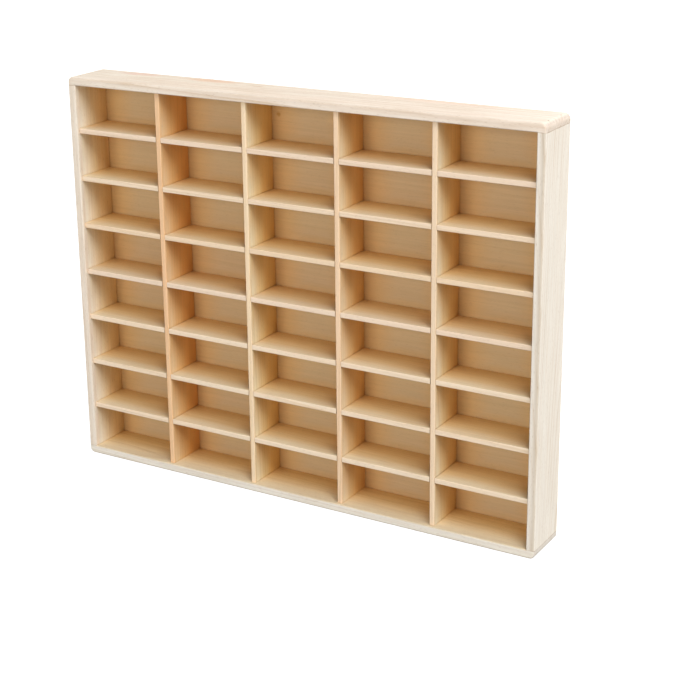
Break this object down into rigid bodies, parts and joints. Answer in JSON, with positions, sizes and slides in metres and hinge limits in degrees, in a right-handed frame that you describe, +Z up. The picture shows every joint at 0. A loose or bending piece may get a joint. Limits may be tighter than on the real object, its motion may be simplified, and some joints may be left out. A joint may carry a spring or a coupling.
{
  "type": "wooden compartment box",
  "caption": "Open-front pine box for showing or sorting small things: a rounded frame, a grid of halved uprights and shelves that makes equal compartments, and a thin rebated back.",
  "frame": {"origin": "middle of the flat face that the box stands on", "axes": "+Z up, +X along the width to the right as seen from the open front, the open front faces -Y and the back panel +Y"},
  "size_m": [0.49, 0.05, 0.385],
  "materials": {
    "frame_pine": "pale solid pine, sanded smooth and left natural",
    "divider_pine": "thin pale pine board, planed and left natural",
    "back_panel_wood": "thin pale wood panel, sanded and left natural",
    "brad_steel": "bright drawn steel wire"
  },
  "bodies": {
    "root": {"top_board": "frame_pine", "bottom_board": "frame_pine", "left_side_board": "frame_pine", "right_side_board": "frame_pine", "back_panel": "back_panel_wood", "upright_1": "divider_pine", "upright_2": "divider_pine", "upright_3": "divider_pine", "upright_4": "divider_pine", "shelf_1": "divider_pine", "shelf_2": "divider_pine", "shelf_3": "divider_pine", "shelf_4": "divider_pine", "shelf_5": "divider_pine", "shelf_6": "divider_pine", "shelf_7": "divider_pine", "corner_brads": "brad_steel", "back_panel_brads": "brad_steel"}
  },
  "joints": []
}
